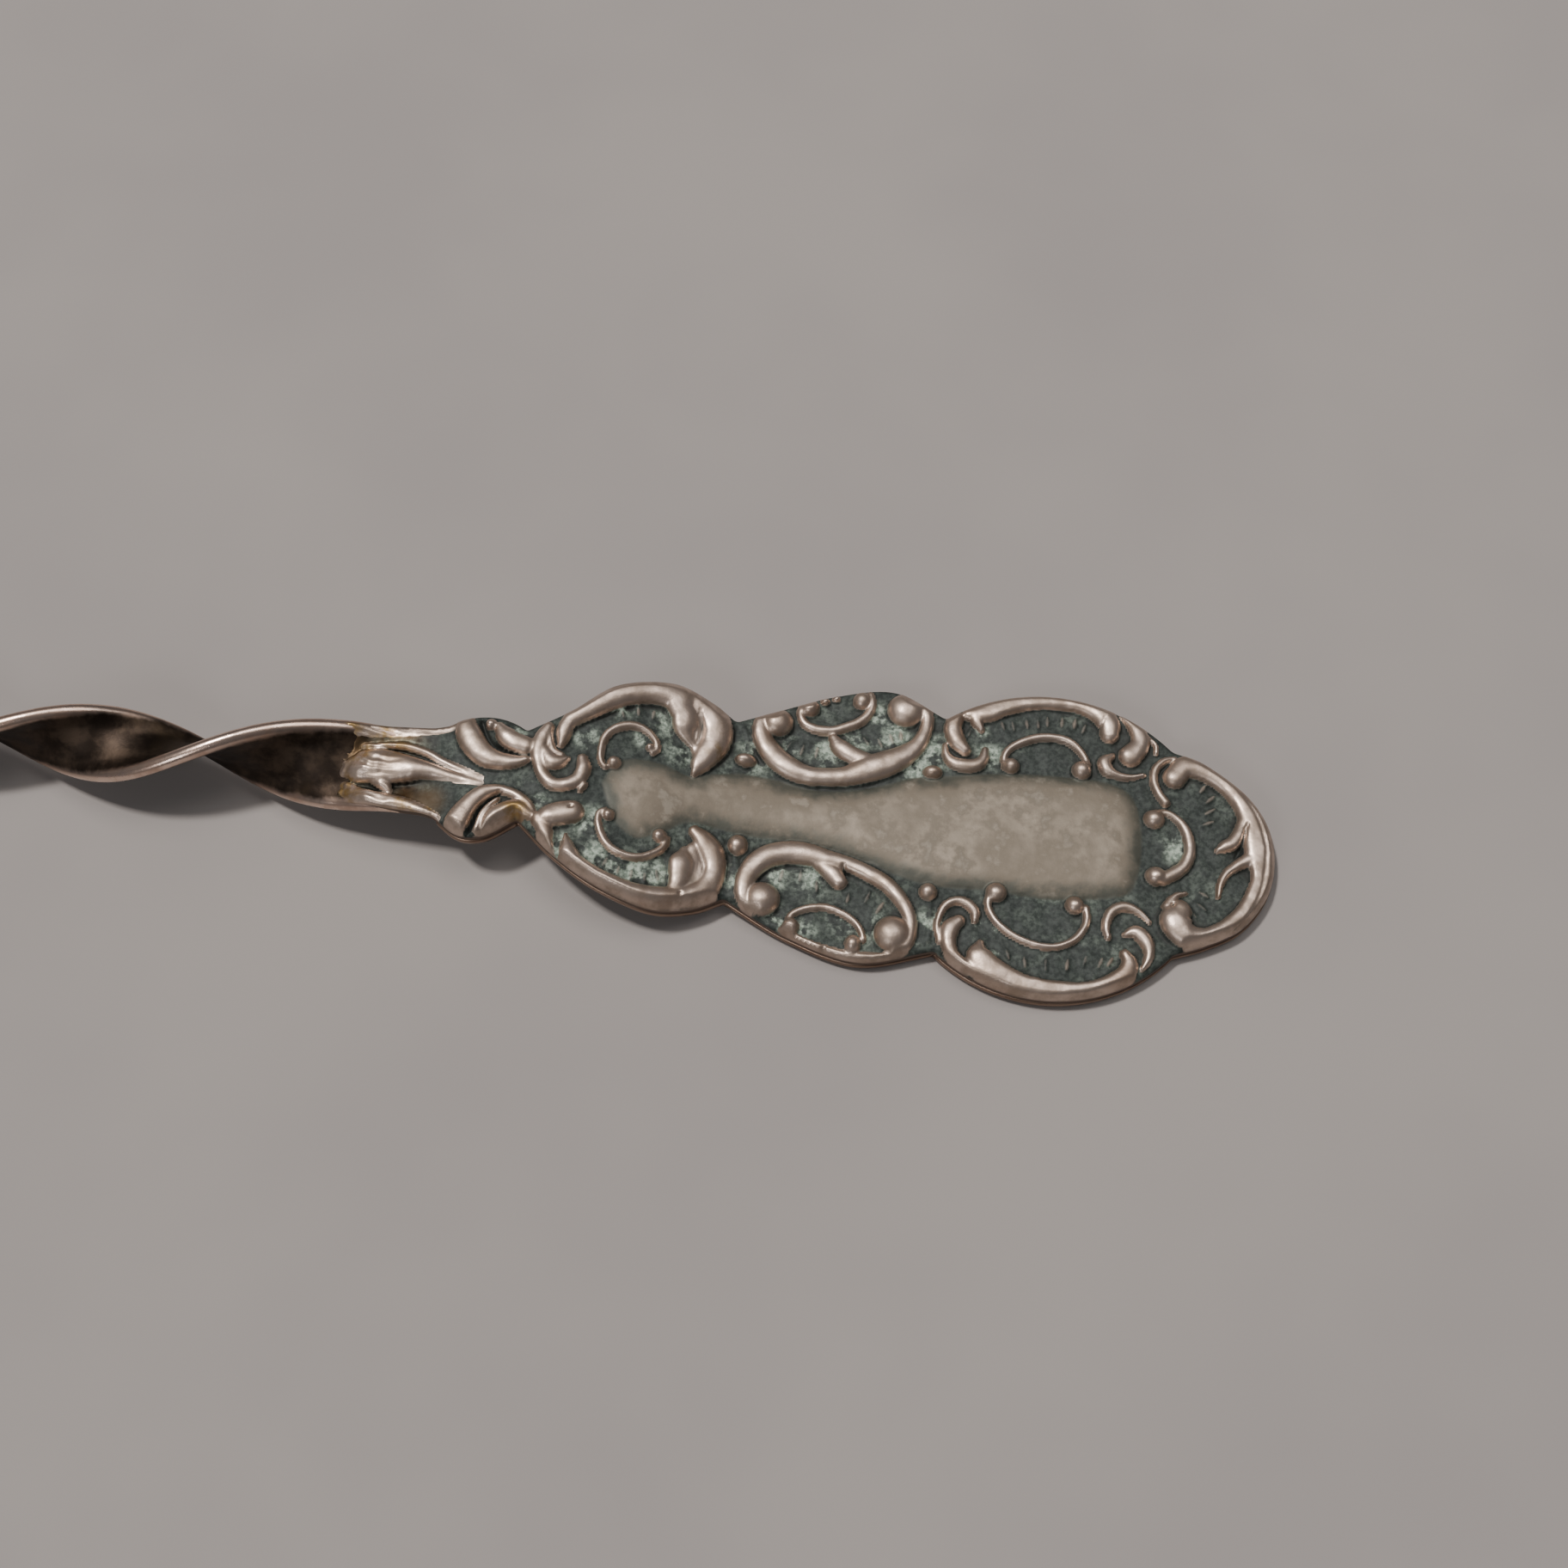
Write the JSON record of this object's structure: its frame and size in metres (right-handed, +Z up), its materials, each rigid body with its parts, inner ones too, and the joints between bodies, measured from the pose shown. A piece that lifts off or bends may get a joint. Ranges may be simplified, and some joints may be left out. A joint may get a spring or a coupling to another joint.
{
  "type": "hat pin",
  "caption": "Hat pin with a lobed, scroll-worked silver paddle head, a twisted strip shank and a long pointed steel stem.",
  "frame": {"origin": "on the stem's axis, at the collar's nose, where the steel stem comes out", "axes": "+X along the stem's axis towards the head's tip, +Z up out of the head's face, the pin lying on its back plate"},
  "size_m": [0.1809, 0.0174, 0.0054],
  "materials": {
    "struck_silver": "tarnished silver, dark in the recesses",
    "plain_silver": "worn satin silver",
    "strip_silver": "polished edges, tarnished faces",
    "collar_silver": "turned and polished",
    "stem_steel": "drawn wire, ground point"
  },
  "bodies": {
    "root": {"head_front": "struck_silver", "head_back": "plain_silver", "twisted_shank": "strip_silver", "stem_collar": "collar_silver", "pin_stem": "stem_steel"}
  },
  "joints": []
}
